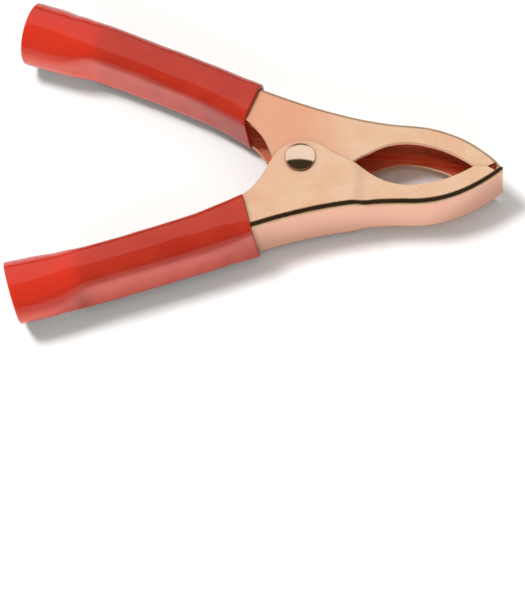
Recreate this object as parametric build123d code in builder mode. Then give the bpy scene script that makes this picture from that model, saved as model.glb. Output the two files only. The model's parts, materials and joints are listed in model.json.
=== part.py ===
from build123d import *
from math import cos, pi, radians, sin
import os

# Battery alligator clip: two stamped steel channels on one rivet, a torsion spring and two grip sleeves.
# The clip lies on its side.  +X runs to the jaw tips, +Y from the lower handle to the upper one, and the
# pivot axis is parallel to +Z.  All outlines are drawn about the pivot, on planes that pass through it.

os.makedirs("parts", exist_ok=True)

# --- driving dimensions, millimetres ---------------------------------------------------------------
SHEET = 0.9              # thickness of the stamped steel
SLIP = 0.4               # side gap between the inner jaw's plates and the outer jaw's ears
INNER_WIDTH = 10.6       # inner (upper) jaw over its plates
OUTER_WIDTH = INNER_WIDTH + 2 * (SHEET + SLIP)
NOSE_WIDTH = 11.4        # outer (lower) jaw in front of its ears
BEND_RADIUS = 1.2        # outside radius of the bends between web and plates
JOGGLE = (10.8, 14.0)    # where the outer jaw's ears step in to the nose width
CORE_STEPS = 30          # points at which the web's inside is set off from its outside
LAND_GAP = 0.06          # each gripping land's distance from the centre line, with the jaws closed

RIVET_RADIUS = 2.0
RIVET_CLEARANCE = 0.05   # radial running clearance in the inner jaw
HEAD_RADIUS = 3.05
HEAD_RIM = 0.55          # height of the head's side below its dome
HEAD_HEIGHT = 1.35
TAIL_RADIUS = 2.8
TAIL_HEIGHT = 0.9

WIRE = 1.5               # spring wire diameter
COIL_RADIUS = 3.4        # pivot to the wire's centre
COIL_PITCH = 1.6
COIL_TURNS = 4           # whole turns, besides the part turn between the two legs
LEG_ANGLE = 33.5         # each leg's slope from the -X axis
LEG_LENGTH = 31.0
LEG_LEAD = 3.0           # stretch over which the coil's slope runs out into the flat leg

SLEEVE_WALL = 1.1
SLEEVE_SIDE_GAP = 0.1    # sleeve to plate
SLEEVE_BACK_GAP = 0.45   # sleeve to web and to the plates' free edges
SLEEVE_CORNER = 0.5      # inside corner radius where the sleeve hugs the metal
SLEEVE_BORE = 5.5        # inside radius of the empty round end, where the cable goes in

# --- outlines about the pivot; those of the lower half are drawn as its mirror image ---------------
UPPER_BACK = [(-43.4, 30.1), (-30, 25.4), (-18, 20.6), (-8, 16.6), (0, 13.8), (10, 11.05), (20, 9.55),
              (26, 9.1), (30, 8.1), (34, 6.45), (38, 3.85), (40.2, 2.0), (41.8, LAND_GAP)]
LOWER_BACK = [(-43.4, 29.3), (-30, 24.4), (-18, 19.8), (-8, 15.9), (0, 13.1), (10, 10.6), (20, 9.35),
              (26, 9.0), (30, 8.05), (34, 6.35), (38, 3.85), (40.2, 2.15), (41.8, 0.6)]
HANDLE_SLOPE = (1, -0.36)
NOSE_SLOPE = (0.6, -0.8)
NOSE_NOTCH = [(41.8, LAND_GAP), (40.75, LAND_GAP), (40.1, 1.0), (38.5, LAND_GAP), (36, LAND_GAP)]
MOUTH = [(36, LAND_GAP), (34, 1.35), (30, 3.4), (26, 4.6), (22, 5.05), (18, 4.4), (14, 2.3)]
UPPER_EDGE = [(-12, 9.3), (-16, 12.1), (-20, 14.1), (-30, 18.1), (-45.1, 24.1)]
LOWER_EDGE = [(-12, 9.3), (-16, 12.0), (-20, 14.0), (-30, 18.1), (-45.3, 23.7)]
# inner jaw: mouth down to the pivot eye, round the eye, and back up to the handle
INNER_THROAT = [(14, 2.3), (12, 1.2), (10.3, -0.2), (5.4, -3.4)]
INNER_EYE_FOOT = (0, -6.0)
INNER_REAR = [(-5.7, -1.5), (-5.9, 0.9), (-6.5, 2.5), (-8, 5.4), (-10, 7.8), (-12, 9.3)]
# outer jaw: mouth up to the pivot eye, over the eye, and back down to the handle
OUTER_THROAT = [(14, -2.3), (12, -1.1), (9, 0.4), (4.6, 2.85)]
OUTER_EYE = [(4.6, 2.85), (1.2, 4.0), (-2.5, 3.2), (-5.0, 1.0), (-7.0, -2.9), (-8.7, -6.0), (-12, -9.3)]

# --- sleeve stations: centre, slope of the handle, depth of the metal ------------------------------
UPPER_GRIPPED = [((-10.4, 13.1), 26, 8.2), ((-14.2, 15.2), 23.5, 7.2), ((-19.9, 17.7), 22.0, 6.8),
                 ((-30.0, 21.7), 20.5, 6.8), ((-44.0, 27.0), 20, 6.2)]
LOWER_GRIPPED = [((-10.2, 12.7), 29, 7.6), ((-14.1, 14.7), 24, 6.6), ((-20.0, 17.3), 21.5, 6.1),
                 ((-30.0, 21.2), 20.5, 5.9), ((-44.2, 26.4), 19, 5.9)]
UPPER_ROUND = ((-47.6, 27.8), 17)
LOWER_ROUND = ((-47.6, 27.2), 17)
ROUND_LENGTH = 10.5      # the empty round tube, from where the sleeve has turned round to its free end

# --- planes through the pivot; the overall box is centred on X = 0 and stands on Z = 0 -------------
UPPER = 1
LOWER = -1
SLEEVE_HALF_WIDTH = OUTER_WIDTH / 2 + SLEEVE_SIDE_GAP + SLEEVE_WALL
SLEEVE_OUTSIDE = SLEEVE_BORE + SLEEVE_WALL
ROUND_LEAN = radians(UPPER_ROUND[1])
REAR_REACH = UPPER_ROUND[0][0] - ROUND_LENGTH * cos(ROUND_LEAN) - SLEEVE_OUTSIDE * sin(ROUND_LEAN)
PIVOT = Vector(-(UPPER_BACK[-1][0] + REAR_REACH) / 2, 0, SLEEVE_HALF_WIDTH)
SIDE = Plane(origin=PIVOT)
PLAN = Plane(origin=PIVOT, x_dir=(1, 0, 0), z_dir=(0, -1, 0))
FAR = 60.0               # well outside the clip in any direction


def flip(side, points):
    """The outline points of one half: as drawn for the upper half, mirrored for the lower."""
    return [(x, side * y) for x, y in points]


def handle_plane(side, centre, slope):
    """Plane across a handle: its normal runs to the free end, its Y axis points away from the other."""
    x, y = centre
    lean = radians(slope)
    return Plane(origin=PIVOT + Vector(x, side * y, 0), x_dir=(0, 0, side),
                 z_dir=(-cos(lean), side * sin(lean), 0))


def joggle_plan(rear_half, front_half):
    """Plan outline (X, Z) of a channel that steps in from its rear width to its nose width."""
    start, end = JOGGLE
    for z_side in (1, -1):
        rear = (start, z_side * rear_half)
        front = (end, z_side * front_half)
        Line((-FAR, z_side * rear_half), rear)
        Spline(rear, front, tangents=((1, 0), (1, 0)))
        Line(front, (FAR, z_side * front_half))
    Line((-FAR, rear_half), (-FAR, -rear_half))
    Line((FAR, front_half), (FAR, -front_half))


def bend_edges(solid, side):
    """The two long edges of a channel, where its web turns into its plates."""
    web = solid.faces().filter_by(lambda face: side * face.normal_at().Y > 0.1)
    long_edges = web.edges().filter_by(Axis.Z, reverse=True)
    return long_edges.filter_by(lambda edge: abs(edge.center().Z - PIVOT.Z) > BEND_RADIUS)


def channel_core(side, back, rear_half, front_half):
    """The space inside a stamped channel: everything one sheet thickness inside its web and plates."""
    outside = Spline(*flip(side, back), tangents=flip(side, [HANDLE_SLOPE, NOSE_SLOPE]), mode=Mode.PRIVATE)
    steps = [step / CORE_STEPS for step in range(CORE_STEPS + 1)]
    inside = [outside @ step - side * SHEET * (outside % step).rotate(Axis.Z, 90) for step in steps]
    with BuildPart() as core:
        with BuildSketch(SIDE.offset(-FAR)):
            with BuildLine():
                web = Spline(*inside, tangents=(outside % 0, outside % 1))
                tail = Line(web @ 0, web @ 0 - FAR * (web % 0))
                nose = Line(web @ 1, web @ 1 + FAR * (web % 1))
                Polyline(nose @ 1, (0, -side * FAR), tail @ 1)
            make_face()
        extrude(amount=2 * FAR)
        with BuildSketch(PLAN.offset(-FAR)):
            with BuildLine():
                joggle_plan(rear_half - SHEET, front_half - SHEET)
            make_face()
        extrude(amount=2 * FAR, mode=Mode.INTERSECT)
        fillet(bend_edges(core.part, side), radius=BEND_RADIUS - SHEET)
    return core.part


# --- the outer, lower jaw: ears outside, and the handle that the spring and rivet stay with --------
outer_core = channel_core(LOWER, LOWER_BACK, OUTER_WIDTH / 2, NOSE_WIDTH / 2)
with BuildPart() as lower_jaw:
    with BuildSketch(SIDE.offset(-FAR)):
        with BuildLine():
            Spline(*flip(LOWER, LOWER_BACK), tangents=flip(LOWER, [HANDLE_SLOPE, NOSE_SLOPE]))
            Polyline(*flip(LOWER, LOWER_BACK[-1:] + NOSE_NOTCH))
            Spline(*flip(LOWER, MOUTH))
            Spline(*OUTER_THROAT)
            Spline(*OUTER_EYE)
            Spline(*flip(LOWER, LOWER_EDGE))
            Line(flip(LOWER, LOWER_EDGE)[-1], flip(LOWER, LOWER_BACK)[0])
        make_face()
    extrude(amount=2 * FAR)
    with BuildSketch(PLAN.offset(-FAR)):
        with BuildLine():
            joggle_plan(OUTER_WIDTH / 2, NOSE_WIDTH / 2)
        make_face()
    extrude(amount=2 * FAR, mode=Mode.INTERSECT)
    fillet(bend_edges(lower_jaw.part, LOWER), radius=BEND_RADIUS)
    add(outer_core, mode=Mode.SUBTRACT)
    with Locations(PIVOT):
        Hole(radius=RIVET_RADIUS)
lower_jaw.part.label = "lower_jaw"
export_step(lower_jaw.part, "parts/lower_jaw.step")

# --- the inner, upper jaw: one width all along, its plates run inside the outer jaw's ears ---------
inner_core = channel_core(UPPER, UPPER_BACK, INNER_WIDTH / 2, INNER_WIDTH / 2)
with BuildPart() as upper_jaw:
    with BuildSketch(SIDE.offset(-INNER_WIDTH / 2)):
        with BuildLine():
            Spline(*UPPER_BACK, tangents=(HANDLE_SLOPE, NOSE_SLOPE))
            Polyline(*NOSE_NOTCH)
            Spline(*MOUTH)
            Spline(*INNER_THROAT)
            ThreePointArc(INNER_THROAT[-1], INNER_EYE_FOOT, INNER_REAR[0])
            Spline(*INNER_REAR)
            Spline(*UPPER_EDGE)
            Line(UPPER_EDGE[-1], UPPER_BACK[0])
        make_face()
    extrude(amount=INNER_WIDTH)
    fillet(bend_edges(upper_jaw.part, UPPER), radius=BEND_RADIUS)
    add(inner_core, mode=Mode.SUBTRACT)
    with Locations(PIVOT):
        Hole(radius=RIVET_RADIUS + RIVET_CLEARANCE)
upper_jaw.part.label = "upper_jaw"
export_step(upper_jaw.part, "parts/upper_jaw.step")

# --- the rivet: shank, domed head on top, peened tail below ----------------------------------------
HALF_GRIP = OUTER_WIDTH / 2
with BuildPart() as pivot_rivet:
    with BuildSketch(PLAN):
        with BuildLine():
            Polyline((TAIL_RADIUS, -HALF_GRIP), (RIVET_RADIUS, -HALF_GRIP), (RIVET_RADIUS, HALF_GRIP),
                     (HEAD_RADIUS, HALF_GRIP), (HEAD_RADIUS, HALF_GRIP + HEAD_RIM))
            TangentArc((0, HALF_GRIP + HEAD_HEIGHT), (HEAD_RADIUS, HALF_GRIP + HEAD_RIM), tangent=(1, 0))
            TangentArc((0, -HALF_GRIP - TAIL_HEIGHT), (TAIL_RADIUS, -HALF_GRIP), tangent=(1, 0))
            Line((0, -HALF_GRIP - TAIL_HEIGHT), (0, HALF_GRIP + HEAD_HEIGHT))
        make_face()
    revolve(axis=Axis(PIVOT, (0, 0, 1)))
pivot_rivet.part.label = "pivot_rivet"
export_step(pivot_rivet.part, "parts/pivot_rivet.step")

# --- the torsion spring: a coil round the rivet and a leg along the inside of each handle ----------
PART_TURN = 180 - 2 * LEG_ANGLE
COIL_HEIGHT = COIL_PITCH * (COIL_TURNS + PART_TURN / 360)
COIL_RISE = COIL_PITCH / (2 * pi * COIL_RADIUS)
coil = Helix(pitch=COIL_PITCH, height=COIL_HEIGHT, radius=COIL_RADIUS)
coil = Pos(PIVOT - Vector(0, 0, COIL_HEIGHT / 2)) * Rot(Z=LEG_ANGLE - 90) * coil
with BuildPart() as torsion_spring:
    with BuildSketch(Plane(origin=coil @ 0, z_dir=coil % 0)):
        Circle(WIRE / 2)
    sweep(path=coil, is_frenet=True)
    for side, end, tangent in ((LOWER, coil @ 0, -(coil % 0)), (UPPER, coil @ 1, coil % 1)):
        along = Vector(-cos(radians(LEG_ANGLE)), side * sin(radians(LEG_ANGLE)), 0)
        rise = Vector(0, 0, side * LEG_LEAD * COIL_RISE / 2)
        with BuildLine() as leg:
            lead = Spline(end, end + LEG_LEAD * along + rise, tangents=(tangent, along))
            Line(lead @ 1, lead @ 1 + (LEG_LENGTH - LEG_LEAD) * along)
        with BuildSketch(Plane(origin=end, z_dir=tangent)):
            Circle(WIRE / 2)
        sweep(path=leg.line)
torsion_spring.part.label = "torsion_spring"
export_step(torsion_spring.part, "parts/torsion_spring.step")

# --- the grip sleeves: each hugs its handle and runs on past the metal as a round tube -------------
for name, side, metal_width, gripped, round_start in (
        ("lower_handle_sleeve", LOWER, OUTER_WIDTH, LOWER_GRIPPED, LOWER_ROUND),
        ("upper_handle_sleeve", UPPER, INNER_WIDTH, UPPER_GRIPPED, UPPER_ROUND)):
    round_plane = handle_plane(side, *round_start)
    with BuildPart() as sleeve:
        for wall, mode in ((SLEEVE_WALL, Mode.ADD), (0, Mode.SUBTRACT)):
            sections = []
            for centre, slope, depth in gripped:
                with BuildSketch(handle_plane(side, centre, slope), mode=Mode.PRIVATE) as section:
                    RectangleRounded(metal_width + 2 * (SLEEVE_SIDE_GAP + wall),
                                     depth + 2 * (SLEEVE_BACK_GAP + wall), SLEEVE_CORNER + wall)
                sections.append(section.sketch)
            loft(sections, ruled=True, mode=mode)
            with BuildSketch(round_plane, mode=Mode.PRIVATE) as ring:
                Circle(SLEEVE_BORE + wall)
            loft([sections[-1], ring.sketch], mode=mode)
            with BuildSketch(round_plane):
                Circle(SLEEVE_BORE + wall)
            extrude(amount=ROUND_LENGTH, mode=mode)
    sleeve.part.label = name
    export_step(sleeve.part, f"parts/{name}.step")
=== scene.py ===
"""Battery alligator clip: copper-plated jaws and rivet from the frame, modelled grip sleeves and spring.

Places are metres in the row frame. Sleeve and spring sizes are millimetres about the pivot, and MM turns
them into metres.
"""

import json
import math

import bmesh
import bpy
from mathutils import Matrix, Vector, noise

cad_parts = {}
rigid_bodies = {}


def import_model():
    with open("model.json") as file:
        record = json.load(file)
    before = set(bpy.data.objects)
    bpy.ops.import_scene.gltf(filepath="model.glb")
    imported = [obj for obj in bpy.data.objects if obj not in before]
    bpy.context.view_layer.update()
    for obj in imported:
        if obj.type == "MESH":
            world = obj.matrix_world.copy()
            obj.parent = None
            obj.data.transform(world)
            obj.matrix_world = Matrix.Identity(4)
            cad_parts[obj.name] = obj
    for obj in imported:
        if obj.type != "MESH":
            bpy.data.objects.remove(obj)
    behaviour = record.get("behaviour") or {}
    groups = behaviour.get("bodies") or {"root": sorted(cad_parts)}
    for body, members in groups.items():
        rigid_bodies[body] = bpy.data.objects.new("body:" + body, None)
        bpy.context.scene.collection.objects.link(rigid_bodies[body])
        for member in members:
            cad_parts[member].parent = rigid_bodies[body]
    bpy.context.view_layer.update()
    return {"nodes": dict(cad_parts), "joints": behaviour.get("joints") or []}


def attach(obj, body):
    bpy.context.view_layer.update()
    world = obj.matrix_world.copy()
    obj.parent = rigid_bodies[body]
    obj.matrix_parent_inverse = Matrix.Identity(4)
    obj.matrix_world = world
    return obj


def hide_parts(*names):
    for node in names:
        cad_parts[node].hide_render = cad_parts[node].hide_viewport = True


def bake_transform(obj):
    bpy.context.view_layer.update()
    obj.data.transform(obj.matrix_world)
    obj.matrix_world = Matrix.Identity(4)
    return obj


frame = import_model()
MM = 0.001
HINGE = frame["joints"][0]
PIVOT = Vector(HINGE["pos_m"])
LOWER_BODY, UPPER_BODY = HINGE["parent"], HINGE["child"]


# --- node helpers ----------------------------------------------------------------------------------
def new_material(name, **settings):
    """A Principled material; settings are values on the shader's own sockets."""
    material = bpy.data.materials.new(name)
    material.use_nodes = True
    shader = material.node_tree.nodes["Principled BSDF"]
    for socket, value in settings.items():
        shader.inputs[socket.replace("_", " ")].default_value = value
    return material, material.node_tree, shader


def add_node(tree, kind, inputs=None, **settings):
    """Adds a node, sets its properties, and gives its inputs values or links."""
    node = tree.nodes.new(kind)
    for key, value in settings.items():
        setattr(node, key, value)
    for socket, value in (inputs or {}).items():
        if isinstance(value, bpy.types.NodeSocket):
            tree.links.new(value, node.inputs[socket])
        else:
            node.inputs[socket].default_value = value
    return node


def object_coords(tree, scale=(1, 1, 1), turn=0.0):
    """Object coordinates in millimetres, turned about Z and stretched."""
    coords = add_node(tree, "ShaderNodeTexCoord")
    mapping = add_node(tree, "ShaderNodeMapping", {
        "Vector": coords.outputs["Object"], "Scale": [s / MM for s in scale], "Rotation": (0, 0, turn)})
    return mapping.outputs["Vector"]


def split(tree, output):
    """The X, Y and Z of a texture coordinate output."""
    coords = add_node(tree, "ShaderNodeTexCoord")
    return add_node(tree, "ShaderNodeSeparateXYZ", {"Vector": coords.outputs[output]}).outputs


def noise_at(tree, vector, scale, detail, rough, warp=0.0):
    """Noise between 0 and 1; scale is how many features there are to a unit of vector."""
    return add_node(tree, "ShaderNodeTexNoise", {
        "Vector": vector, "Scale": scale, "Detail": detail, "Roughness": rough,
        "Distortion": warp}).outputs["Fac"]


def ramp(tree, value, stops):
    """Grey ramp from (position, grey) stops."""
    node = add_node(tree, "ShaderNodeValToRGB", {"Fac": value})
    elements = node.color_ramp.elements
    while len(elements) < len(stops):
        elements.new(0.5)
    for element, (position, grey) in zip(elements, stops):
        element.position = position
        element.color = (grey, grey, grey, 1)
    return node.outputs["Color"]


def fade(tree, value, off, full):
    """0 where value is at off, 1 where it is at full, smooth between and level beyond."""
    node = add_node(tree, "ShaderNodeMapRange", {"Value": value, "From Min": off, "From Max": full},
                    interpolation_type="SMOOTHSTEP")
    return node.outputs["Result"]


def mix(tree, factor, a, b):
    """Colour a where factor is 0 and colour b where it is 1."""
    node = tree.nodes.new("ShaderNodeMix")
    node.data_type = "RGBA"
    for socket, value in (("Factor", factor), ("A", a), ("B", b)):
        target = [s for s in node.inputs if s.name == socket and s.enabled][0]
        if isinstance(value, bpy.types.NodeSocket):
            tree.links.new(value, target)
        else:
            target.default_value = value if socket == "Factor" else (*value, 1)
    return [s for s in node.outputs if s.enabled][0]


def math_node(tree, operation, a, b=0.0):
    """One Math node on two values, each a number or a socket."""
    node = add_node(tree, "ShaderNodeMath", operation=operation)
    for socket, value in zip(node.inputs, (a, b)):
        if isinstance(value, bpy.types.NodeSocket):
            tree.links.new(value, socket)
        else:
            socket.default_value = value
    return node.outputs[0]


def times(tree, a, b):
    return math_node(tree, "MULTIPLY", a, b)


def absolute(tree, value):
    return math_node(tree, "ABSOLUTE", value)


def bump_chain(tree, shader, layers, normal=None):
    """Stacks bump layers of (height, depth in mm, strength) on a shader's normal."""
    for height, depth, strength in layers:
        bump = add_node(tree, "ShaderNodeBump", {
            "Height": height, "Distance": depth * MM, "Strength": strength})
        if normal is not None:
            tree.links.new(normal, bump.inputs["Normal"])
        normal = bump.outputs["Normal"]
    tree.links.new(normal, shader.inputs["Normal"])


# --- materials: copper plating ---------------------------------------------------------------------
JAW_TAN, JAW_PINK = (0.76, 0.53, 0.35), (0.73, 0.43, 0.27)
RIVET_TAN, RIVET_PINK = (0.90, 0.68, 0.52), (0.86, 0.60, 0.46)
# painted reflection: the pink that the outward, upright web faces take for the bright floor in front
WEB_REFLECTION_PINK = (0.86, 0.46, 0.32)
REAR_PINK = (0.73, 0.34, 0.205)
PIT_BROWN = (0.42, 0.17, 0.09)
# painted shade: dark brown laid on the bend for the dark surroundings it reflects
BEND_PAINTED_SHADE = (0.24, 0.19, 0.10)
# painted shade: brown laid where nearby faces close the surface in
CREVICE_PAINTED_SHADE = (0.28, 0.11, 0.05)
# painted reflection: red-orange for copper reflecting copper inside the channel
INSIDE_REFLECTION_RED, INSIDE_REFLECTION_ORANGE = (0.80, 0.16, 0.08), (1.0, 0.42, 0.20)
LINE_SHADE, SPECK_SHADE = 0.86, 0.78      # how dark the drawing lines and specks are, of the pink
PIT_STRENGTH, BEND_SHADE_STRENGTH, CREVICE_SHADE_STRENGTH = 0.55, 0.45, 0.65
WEB_DULL, INSIDE_DULL, FLAT_DULL = 0.6, 0.6, 0.45      # how much of each face is matt, not mirror
REAR_FROM, REAR_TO = 15 * MM, -3 * MM     # from the pivot: where the rear's pinker plating sets in
INSIDE_BLEND = 0.05                       # mm over which the channel's inside begins
CREVICE_REACH, EDGE_ROUND = 1.3 * MM, 0.14 * MM
ROUGH_LINES, ROUGH_CLOUD = 0.12, 0.10     # how far each pattern makes the roughness vary


def jaw_zones(tree, shader, colour, lines, side, half_inside, rear_pink):
    """Tints a jaw's rear pinker, lays painted reflection on its web and inside and painted shade on its bend,
    and dulls its faces; returns the colour.

    Side is +1 or -1, the way its web faces; its inside lies within half_inside mm of the clip's mid plane.
    """
    place = split(tree, "Object")
    facing = split(tree, "Normal")
    outward = times(tree, facing["Y"], float(side))
    lean, tilt = absolute(tree, facing["Y"]), absolute(tree, facing["Z"])

    # the rear is pinker
    to_rear = fade(tree, place["X"], PIVOT.x + REAR_FROM, PIVOT.x + REAR_TO)
    colour = mix(tree, times(tree, to_rear, rear_pink), colour, REAR_PINK)

    # the web faces outward and stands upright; its pink tint is painted reflection of the bright floor in
    # front
    web = times(tree, fade(tree, outward, 0.3, 0.5), fade(tree, tilt, 0.18, 0.08))
    colour = mix(tree, web, colour, WEB_REFLECTION_PINK)

    # painted shade: the bend, which leans between the web and a plate on the outward side, is darkened for
    # the dark surroundings it reflects
    bend_shade = times(tree, fade(tree, tilt, 0.14, 0.26), fade(tree, tilt, 0.985, 0.95))
    bend_shade = times(tree, bend_shade, fade(tree, outward, 0.1, 0.25))
    colour = mix(tree, times(tree, bend_shade, BEND_SHADE_STRENGTH), colour, BEND_PAINTED_SHADE)

    # the channel's inside is near the mid plane and doesn't face outward; its red-orange is painted
    # reflection, copper seen in copper
    level = absolute(tree, math_node(tree, "SUBTRACT", place["Z"], PIVOT.z))
    inside = times(tree, fade(tree, level, (half_inside + INSIDE_BLEND) * MM, half_inside * MM),
                   fade(tree, outward, 0.4, 0.2))
    inside_reflection = mix(tree, ramp(tree, lines, [(0.40, 0.0), (0.62, 1.0)]), INSIDE_REFLECTION_RED, INSIDE_REFLECTION_ORANGE)
    colour = mix(tree, inside, colour, inside_reflection)

    # the plates lie flat, facing up or down
    flat = times(tree, fade(tree, lean, 0.22, 0.08), fade(tree, tilt, 0.5, 0.7))
    dull = math_node(tree, "MAXIMUM", times(tree, web, WEB_DULL), times(tree, inside, INSIDE_DULL))
    dull = math_node(tree, "MAXIMUM", dull, times(tree, flat, FLAT_DULL))
    tree.links.new(math_node(tree, "SUBTRACT", 1.0, dull), shader.inputs["Metallic"])
    return colour


def copper(name, tan, pink, roughness, line_turn, **jaw):
    """Copper plating over steel: faint mottling, drawing lines, specks and tiny pits, with painted shade in
    crevices.
    """
    material, tree, shader = new_material(name, Metallic=1.0)
    plain = object_coords(tree)
    cloud = noise_at(tree, plain, scale=0.13, detail=5.0, rough=0.6, warp=0.6)
    speck = noise_at(tree, plain, scale=2.0, detail=3.0, rough=0.6)
    stretched = object_coords(tree, (0.10, 3.0, 3.0), line_turn)
    lines = noise_at(tree, stretched, scale=1.0, detail=5.0, rough=0.7)
    pits = noise_at(tree, plain, scale=1.1, detail=2.0, rough=0.5)
    pits = ramp(tree, pits, [(0.0, 1.0), (0.22, 1.0), (0.29, 0.0), (1.0, 0.0)])

    colour = mix(tree, ramp(tree, cloud, [(0.36, 0.0), (0.66, 1.0)]), tan, pink)
    for pattern, start, stop, shade in ((lines, 0.40, 0.75, LINE_SHADE), (speck, 0.50, 0.8, SPECK_SHADE)):
        pattern = ramp(tree, pattern, [(start, 0.0), (stop, 0.30)])
        colour = mix(tree, pattern, colour, [channel * shade for channel in pink])
    colour = mix(tree, times(tree, pits, PIT_STRENGTH), colour, PIT_BROWN)
    if jaw:
        colour = jaw_zones(tree, shader, colour, lines, **jaw)
    # painted shade: darker where nearby faces close the surface in, as round the rivet and the ear's edge
    open_sky = add_node(tree, "ShaderNodeAmbientOcclusion", {"Distance": CREVICE_REACH}, samples=6)
    crevice_shade = fade(tree, open_sky.outputs["AO"], 0.98, 0.45)
    colour = mix(tree, times(tree, crevice_shade, CREVICE_SHADE_STRENGTH), colour, CREVICE_PAINTED_SHADE)
    tree.links.new(colour, shader.inputs["Base Color"])

    rough = math_node(tree, "ADD", times(tree, lines, ROUGH_LINES), times(tree, cloud, ROUGH_CLOUD))
    rough = math_node(tree, "ADD", rough, roughness - (ROUGH_LINES + ROUGH_CLOUD) / 2)
    tree.links.new(rough, shader.inputs["Roughness"])
    edge = add_node(tree, "ShaderNodeBevel", {"Radius": EDGE_ROUND}, samples=4)
    bump_chain(tree, shader, [(cloud, 0.05, 0.25), (lines, 0.006, 0.35), (speck, 0.006, 0.35),
                              (pits, -0.01, 0.6)], edge.outputs["Normal"])
    return material


# --- materials: sleeves, spring and floor ----------------------------------------------------------
METAL_END = -43.8              # the handles' rear ends, mm about the pivot
DEEP_RED, FRESH_RED = (0.41, 0.026, 0.012), (0.48, 0.036, 0.016)
# painted light: lighter red where light shines through the thin wall with no metal behind it
HOLLOW_LIT_RED = (0.60, 0.034, 0.015)          # past the metal's end, reached by a slow and a quick fade
SLOW_FROM, SLOW_TO, QUICK_REACH = 5 * MM, -6 * MM, 0.7 * MM
QUICK_SHARE = 0.45
# painted reflection: a pink sheen for the bright floor, on the side that faces the front
LOW_SIDE_SHEEN_PINK, LOW_SIDE_SHEEN_STRENGTH = (0.98, 0.165, 0.105), 0.6
DUST_PINK = (0.55, 0.10, 0.07)
GLOSS_LEAST, GLOSS_RANGE = 0.07, 0.12      # roughness where the skin is smoothest, and how it varies
WIRE_DARK, WIRE_PALE = (0.42, 0.38, 0.34), (0.62, 0.58, 0.53)
FLOOR_WHITE = (0.92, 0.92, 0.92, 1)


def vinyl(name):
    """Soft red PVC: glossy skin, slow ripples, fine orange peel; painted lighter where no metal is behind it,
    for light shining through the thin wall, and a painted sheen on the side facing the front.
    """
    material, tree, shader = new_material(
        name, IOR=1.43, Subsurface_Weight=0.35, Subsurface_Radius=(1.0, 0.12, 0.06),
        Subsurface_Scale=1.2 * MM)
    plain = object_coords(tree)
    cloud = noise_at(tree, plain, scale=0.12, detail=3.0, rough=0.5)
    peel = noise_at(tree, plain, scale=1.1, detail=2.0, rough=0.5)
    dust = noise_at(tree, plain, scale=5.0, detail=2.0, rough=0.6)
    place = split(tree, "Object")
    facing = split(tree, "Normal")

    colour = mix(tree, ramp(tree, cloud, [(0.35, 0.0), (0.7, 1.0)]), DEEP_RED, FRESH_RED)
    colour = mix(tree, ramp(tree, dust, [(0.66, 0.0), (0.78, 0.25)]), colour, DUST_PINK)
    # painted light: lighter red past the metal's end, for light shining through the thin wall
    metal_end = PIVOT.x + METAL_END * MM
    slow = fade(tree, place["X"], metal_end + SLOW_FROM, metal_end + SLOW_TO)
    quick = fade(tree, place["X"], metal_end + QUICK_REACH, metal_end - QUICK_REACH)
    colour = mix(tree, mix(tree, QUICK_SHARE, slow, quick), colour, HOLLOW_LIT_RED)
    # painted reflection of the bright floor on the side that faces the front
    low_side_sheen = fade(tree, facing["Y"], -0.86, -0.985)
    colour = mix(tree, times(tree, low_side_sheen, LOW_SIDE_SHEEN_STRENGTH), colour, LOW_SIDE_SHEEN_PINK)
    tree.links.new(colour, shader.inputs["Base Color"])

    rough = math_node(tree, "ADD", times(tree, cloud, GLOSS_RANGE), GLOSS_LEAST)
    tree.links.new(rough, shader.inputs["Roughness"])
    bump_chain(tree, shader, [(cloud, 0.12, 0.3), (peel, 0.012, 0.3), (dust, 0.004, 0.3)])
    return material


def spring_steel(name):
    """Drawn wire: grey-brown steel with fine streaks."""
    material, tree, shader = new_material(name, Metallic=1.0)
    cloud = noise_at(tree, object_coords(tree), scale=0.5, detail=4.0, rough=0.6)
    streak = noise_at(tree, object_coords(tree, (4.0, 4.0, 9.0)), scale=1.0, detail=3.0, rough=0.6)
    colour = mix(tree, cloud, WIRE_DARK, WIRE_PALE)
    tree.links.new(colour, shader.inputs["Base Color"])
    tree.links.new(ramp(tree, streak, [(0.3, 0.26), (0.7, 0.42)]), shader.inputs["Roughness"])
    bump_chain(tree, shader, [(streak, 0.01, 0.4)])
    return material


def floor_paint(name):
    """Plain matt white."""
    material, _, shader = new_material(name, Roughness=0.6)
    shader.inputs["Base Color"].default_value = FLOOR_WHITE
    return material


METALS = {
    "lower_jaw": copper("lower_jaw_copper", JAW_TAN, JAW_PINK, 0.24, 0.1,
                        side=-1, half_inside=4.8, rear_pink=0.1),
    "upper_jaw": copper("upper_jaw_copper", JAW_TAN, JAW_PINK, 0.24, -0.2,
                        side=1, half_inside=4.45, rear_pink=0.85),
    "pivot_rivet": copper("rivet_copper", RIVET_TAN, RIVET_PINK, 0.10, 0.0),
}
RED_VINYL = vinyl("red_vinyl")
SPRING_STEEL = spring_steel("spring_steel")


# --- mesh helpers ----------------------------------------------------------------------------------
def add_object(name, data):
    obj = bpy.data.objects.new(name, data)
    bpy.context.scene.collection.objects.link(obj)
    return obj


def mesh_object(name, rings, material, closed=True):
    """Quads through rings of points; closed joins the last ring to the first, and else both are capped."""
    mesh = bpy.data.meshes.new(name)
    count = len(rings[0])
    last = len(rings) if closed else len(rings) - 1
    faces = []
    for i in range(last):
        a, b = i * count, (i + 1) % len(rings) * count
        faces += [(a + j, a + (j + 1) % count, b + (j + 1) % count, b + j) for j in range(count)]
    if not closed:
        faces += [tuple(range(count))[::-1], tuple(range(last * count, last * count + count))]
    mesh.from_pydata([point for ring in rings for point in ring], [], faces)
    mesh.materials.append(material)
    shell = bmesh.new()
    shell.from_mesh(mesh)
    bmesh.ops.recalc_face_normals(shell, faces=shell.faces)
    shell.to_mesh(mesh)
    shell.free()
    mesh.shade_smooth()
    return add_object(name, mesh)


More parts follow.
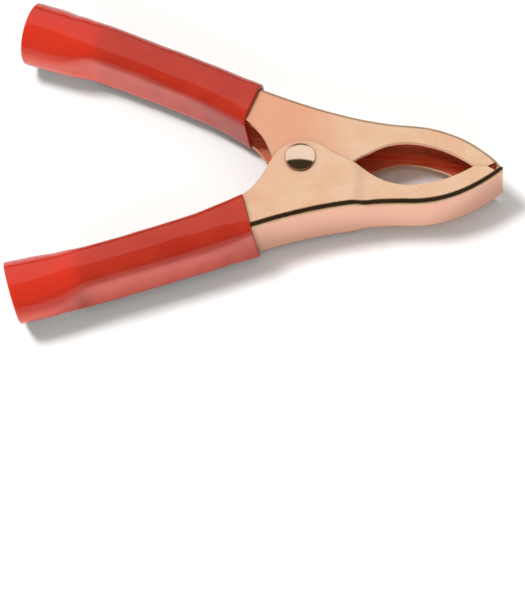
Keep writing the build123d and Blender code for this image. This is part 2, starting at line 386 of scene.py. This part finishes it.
def smoothstep(x):
    """0 up to 0, 1 from 1, smooth between."""
    x = min(max(x, 0.0), 1.0)
    return x * x * (3 - 2 * x)


def catmull(values, t):
    """Catmull-Rom value at t, counted in stations."""
    i = min(int(t), len(values) - 2)
    f = t - i
    p = [values[max(i - 1, 0)], values[i], values[i + 1], values[min(i + 2, len(values) - 1)]]
    return 0.5 * (2 * p[1] + (p[2] - p[0]) * f + (2 * p[0] - 5 * p[1] + 4 * p[2] - p[3]) * f ** 2
                  + (3 * p[1] - p[0] - 3 * p[2] + p[3]) * f ** 3)


# --- grip sleeves ----------------------------------------------------------------------------------
SLEEVE_WALL = 1.1
CORNER_POINTS = 10
SIDE_POINTS = 10
RINGS = 120
# along each handle: x, distance from the X axis, half depth, corner radius
UPPER_STATIONS = [
    (-10.4, 13.15, 5.15, 2.9), (-14.2, 15.25, 5.0, 3.1), (-19.9, 17.85, 4.9, 3.1), (-30.0, 21.95, 4.8, 3.1),
    (-38.0, 25.05, 4.85, 3.1), (-43.0, 26.85, 5.0, 3.3), (-46.3, 27.75, 5.6, 4.6), (-49.6, 28.5, 6.2, 5.9),
    (-53.0, 29.6, 6.5, 6.3), (-57.64, 30.95, 6.6, 6.5)]
LOWER_STATIONS = [
    (-10.2, 12.95, 4.9, 3.0), (-14.1, 14.8, 4.75, 3.3), (-20.0, 17.35, 4.65, 3.5), (-30.0, 21.2, 4.55, 3.5),
    (-38.0, 24.2, 4.55, 3.5), (-43.4, 26.05, 4.7, 3.7), (-46.3, 26.9, 5.4, 4.8), (-49.6, 27.8, 6.1, 5.9),
    (-53.0, 28.8, 6.45, 6.3), (-57.64, 30.15, 6.6, 6.5)]
UPPER_HALF_WIDTH, LOWER_HALF_WIDTH = 6.45, 7.6
UPPER_SEED, LOWER_SEED = 11.0, 3.0
WEB_ROUNDER = 0.7              # how much rounder the corners over the web are
INSIDE_CORNER = 0.9            # corner radius of the bore where it hugs the metal
LEAST_FLAT = 0.01              # what a section keeps flat at least, so that no two points coincide
ROUND_RADIUS = 6.55            # the free end, a round tube
ROUNDING_RUN = 4.5             # how far past the metal the section has turned round
SAG, SAG_START, SAG_RUN = 0.25, -14, 5     # depth, start and run-in of the dip over the channel's open side
END_SKEW = -0.12               # how far the cut ends lean back, per unit of height
LIP_LEAN, LIP_REACH = 0.17, 0.4            # how the cut at the jaws leans, and how far it moves back
LIP_STATIONS = 1.5             # how far along the stations that lean fades out
LIP_STEPS, LIP_BULGE = 5, 0.6  # rings and fullness of the rounded cut edges
WOBBLE, WOBBLE_ALONG, WOBBLE_ACROSS = 0.07, 0.22, 0.3      # the skin's waves: their height, and waves to a mm
TANGENT_STEP = 0.05            # stations on either side that a tangent is taken over
QUARTERS = ((1, 1), (-1, 1), (-1, -1), (1, -1))


def between(start, stop, f):
    return tuple(a + (b - a) * f for a, b in zip(start, stop))


def rounded_section(half_width, half_depth, web_corner, edge_corner, sag):
    """Points round a rounded rectangle; sag pulls in the side that bridges the channel's open side."""
    limit = min(half_width, half_depth) - LEAST_FLAT
    arcs = []
    for quarter, (sx, sy) in enumerate(QUARTERS):
        corner = min(web_corner if sy > 0 else edge_corner, limit)
        angles = [math.pi / 2 * (quarter + step / CORNER_POINTS) for step in range(CORNER_POINTS + 1)]
        arcs.append([(sx * (half_width - corner) + corner * math.cos(angle),
                      sy * (half_depth - corner) + corner * math.sin(angle)) for angle in angles])
    points = []
    for arc, following in zip(arcs, arcs[1:] + arcs[:1]):
        points += arc
        points += [between(arc[-1], following[0], step / SIDE_POINTS) for step in range(1, SIDE_POINTS)]
    return [(a, b + sag * smoothstep(-b / half_depth) * (1 - (a / half_width) ** 2)) for a, b in points]


def sleeve_ring(t, side, half_width, stations, seed, inset):
    """The sleeve's section at station t, drawn in by inset, as points in the row frame."""
    columns = list(zip(*stations))
    x, y, depth, corner = (catmull(column, t) for column in columns)
    ahead, behind = min(t + TANGENT_STEP, len(stations) - 1), max(t - TANGENT_STEP, 0)
    dx, dy = (catmull(column, ahead) - catmull(column, behind) for column in columns[:2])
    run = Vector((dx, side * dy, 0)).normalized()
    across = Vector((0, 0, side))
    out = run.cross(across)
    centre = Vector((x, side * y, 0))

    roundness = smoothstep((METAL_END - x) / ROUNDING_RUN)
    width = half_width + (ROUND_RADIUS - half_width) * roundness
    sag = SAG * (1 - roundness) * smoothstep((SAG_START - x) / SAG_RUN)
    lip = 1 - smoothstep(t / LIP_STATIONS)
    if inset:
        edge_corner = web_corner = INSIDE_CORNER + (corner - inset - INSIDE_CORNER) * roundness
    else:
        edge_corner, web_corner = corner, corner + WEB_ROUNDER * (1 - roundness) * (1 - lip)

    points = []
    for a, b in rounded_section(width - inset, depth - inset, web_corner, edge_corner, sag):
        radial = across * a + out * b
        place = centre + across * a + out * b
        place -= run * (place.z * END_SKEW + lip * (LIP_REACH - LIP_LEAN * b))
        spot = Vector((place.x * WOBBLE_ALONG + seed, place.y * WOBBLE_ACROSS, place.z * WOBBLE_ACROSS))
        points.append(PIVOT + (place + radial.normalized() * (noise.noise(spot) * WOBBLE)) * MM)
    return points


def rounded_edge(start, stop, ring_before, end_ring):
    """Rings that round a cut end over from start to stop; the end faces from ring_before to end_ring."""
    run = (sum(end_ring, Vector()) - sum(ring_before, Vector())).normalized()
    rings = []
    for step in range(1, LIP_STEPS):
        angle = math.pi * step / LIP_STEPS
        bulge = run * math.sin(angle) * SLEEVE_WALL / 2 * MM * LIP_BULGE
        rings.append([p.lerp(q, (1 - math.cos(angle)) / 2) + bulge for p, q in zip(start, stop)])
    return rings


def sleeve(name, node, body, side, half_width, stations, seed):
    """A PVC tube stretched over a handle channel and open, round and hollow past its end."""
    outer, inner = ([sleeve_ring((len(stations) - 1) * ring / RINGS, side, half_width, stations, seed, inset)
                     for ring in range(RINGS + 1)] for inset in (0.0, SLEEVE_WALL))
    free_edge = rounded_edge(outer[-1], inner[-1], outer[-4], outer[-1])
    jaw_edge = rounded_edge(inner[0], outer[0], outer[3], outer[0])
    obj = mesh_object(name, outer + free_edge + inner[::-1] + jaw_edge, RED_VINYL)
    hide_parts(node)
    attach(obj, body)
    obj.visible_diffuse = False      # so that the red doesn't tint the floor's shadow


sleeve("lower_grip", "lower_handle_sleeve", LOWER_BODY, -1, LOWER_HALF_WIDTH, LOWER_STATIONS, LOWER_SEED)
sleeve("upper_grip", "upper_handle_sleeve", UPPER_BODY, 1, UPPER_HALF_WIDTH, UPPER_STATIONS, UPPER_SEED)


# --- torsion spring --------------------------------------------------------------------------------
WIRE_RADIUS = 0.75
COIL_RADIUS = 3.4
COIL_PITCH = 1.6
FULL_TURNS = 4
LEG_SLOPE = math.radians(33.5)
LEG_LENGTH = 31.0
LEG_SHIFT, LEG_SHIFT_STEPS = 0.11, 3      # how the legs go on with the coil's rise, in their first steps
COIL_STEPS, LEG_STEPS = 150, 24
WIRE_POINTS = 14
WIRE_END = 0.8                            # the wire's ends, of its radius
COIL_TURN = FULL_TURNS * 2 * math.pi + math.pi - 2 * LEG_SLOPE
COIL_HEIGHT = COIL_PITCH * COIL_TURN / (2 * math.pi)


def spring_path():
    """The wire's centreline from the lower leg's tip, round the coil, to the upper leg's tip."""
    coil = []
    for step in range(COIL_STEPS + 1):
        angle = LEG_SLOPE - math.pi / 2 + COIL_TURN * step / COIL_STEPS
        coil.append(Vector((COIL_RADIUS * math.cos(angle), COIL_RADIUS * math.sin(angle),
                            COIL_HEIGHT * (step / COIL_STEPS - 0.5))))
    legs = []
    for side, end in ((-1, coil[0]), (1, coil[-1])):
        way = Vector((-math.cos(LEG_SLOPE), side * math.sin(LEG_SLOPE), 0))
        legs.append([end + way * LEG_LENGTH * step / LEG_STEPS
                     + Vector((0, 0, side * LEG_SHIFT * smoothstep(step / LEG_SHIFT_STEPS)))
                     for step in range(1, LEG_STEPS + 1)])
    return [PIVOT + place * MM for place in legs[0][::-1] + coil + legs[1]]


def wire(name, path, radius, material):
    """A round wire along a path, slightly thinner at its ends."""
    last = len(path) - 1
    angles = [2 * math.pi * k / WIRE_POINTS for k in range(WIRE_POINTS)]
    rings = []
    for i, point in enumerate(path):
        run = (path[min(i + 1, last)] - path[max(i - 1, 0)]).normalized()
        across = run.cross(Vector((0, 0, 1))).normalized()
        top = across.cross(run)
        size = radius * (WIRE_END if i in (0, last) else 1.0)
        rings.append([point + (across * math.cos(a) + top * math.sin(a)) * size for a in angles])
    return mesh_object(name, rings, material, closed=False)


spring = wire("spring_wire", spring_path(), WIRE_RADIUS * MM, SPRING_STEEL)
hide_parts("torsion_spring")
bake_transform(spring)


# --- stamped parts from the frame ------------------------------------------------------------------
for node, material in METALS.items():
    for slot in frame["nodes"][node].material_slots:
        slot.material = material


# --- stage, camera and light -----------------------------------------------------------------------
FLOOR_REACH = 4.0
TILT = math.radians(27.0)      # camera's angle from straight down
SWING = math.radians(6.05)     # camera's turn about Z
ROLL = math.radians(3.5)
FRAME_LONG = 0.1236            # height of the picture at the clip
DISTANCE = 1.2
SENSOR = 36.0
TOP_FACE = Vector((0, 0, 6.6 * MM))        # the ears' top face, above the pivot
CENTRE_LEFT, CENTRE_BELOW = 7.766, 29.355  # mm from the pivot to the picture's centre
KEY_POWER, KEY_SPREAD = 2.5, math.radians(15)
KEY_WAY = Vector((0.48, -0.15, -1.0))
WHITE, WARM_WHITE = (1.0, 1.0, 1.0), (1.0, 0.95, 0.90)
SKY_DARK, SKY_LOW_FRONT = (0.052, 0.044, 0.026), (0.30, 0.29, 0.27)


def stage():
    """A plain pale floor under the clip."""
    mesh = bpy.data.meshes.new("floor")
    mesh.from_pydata([(sx * FLOOR_REACH, sy * FLOOR_REACH, 0) for sx, sy in QUARTERS], [], [(0, 1, 2, 3)])
    mesh.materials.append(floor_paint("pale_floor"))
    add_object("floor", mesh)


def camera():
    """The photo's view: from above, leaning to the front, through a long lens."""
    right = Vector((math.cos(SWING), math.sin(SWING), 0))
    back = Vector((math.sin(SWING) * math.sin(TILT), -math.cos(SWING) * math.sin(TILT), math.cos(TILT)))
    up = back.cross(right)
    right, up = right * math.cos(ROLL) - up * math.sin(ROLL), right * math.sin(ROLL) + up * math.cos(ROLL)
    data = bpy.data.cameras.new("camera")
    data.sensor_fit = "AUTO"
    data.sensor_width = SENSOR
    data.lens = SENSOR * DISTANCE / FRAME_LONG
    data.clip_start, data.clip_end = 0.01, 20
    obj = add_object("camera", data)
    target = PIVOT + TOP_FACE - right * CENTRE_LEFT * MM - up * CENTRE_BELOW * MM
    place = target + back * DISTANCE
    obj.matrix_world = Matrix((
        (right.x, up.x, back.x, place.x), (right.y, up.y, back.y, place.y),
        (right.z, up.z, back.z, place.z), (0, 0, 0, 1)))
    bpy.context.scene.camera = obj


def aim(obj, way):
    obj.rotation_euler = way.to_track_quat("-Z", "Y").to_euler()


def area_light(name, place, size, power, colour):
    """A rectangular lamp that faces the row frame's origin."""
    light = bpy.data.lights.new(name, "AREA")
    light.shape = "RECTANGLE"
    light.size, light.size_y = size
    light.energy = power
    light.color = colour
    obj = add_object(name, light)
    obj.location = place
    aim(obj, -Vector(place))
    obj.visible_camera = False
    return obj


def lighting():
    """Soft lamps for the matt light, and a sky of one bright panel and one dim one for the reflections."""
    key = bpy.data.lights.new("key", "SUN")
    key.energy = KEY_POWER
    key.angle = KEY_SPREAD
    lamp = add_object("key", key)
    aim(lamp, KEY_WAY)
    overhead = area_light("overhead", place=(0, 0.2, 1.5), size=(2.0, 2.0), power=12.5, colour=WARM_WHITE)
    front = area_light("front_fill", place=(-0.1, -1.0, 0.6), size=(1.2, 0.6), power=6.0, colour=WHITE)
    for light in (lamp, overhead, front):
        light.visible_glossy = False

    world = bpy.data.worlds.new("studio")
    bpy.context.scene.world = world
    world.use_nodes = True
    world.cycles_visibility.diffuse = False
    tree = world.node_tree
    way = split(tree, "Generated")
    # a bright panel behind and above, a dim one low in front
    panel = times(tree, fade(tree, way["Y"], 0.12, 0.22), fade(tree, way["Z"], 0.16, 0.30))
    low_front = times(tree, fade(tree, way["Y"], 0.0, -0.15), fade(tree, way["Z"], 0.20, 0.08))
    sky = mix(tree, low_front, SKY_DARK, SKY_LOW_FRONT)
    sky = mix(tree, panel, sky, WHITE)
    tree.links.new(sky, tree.nodes["Background"].inputs["Color"])


stage()
lighting()
camera()
bpy.context.scene.view_settings.view_transform = "Standard"
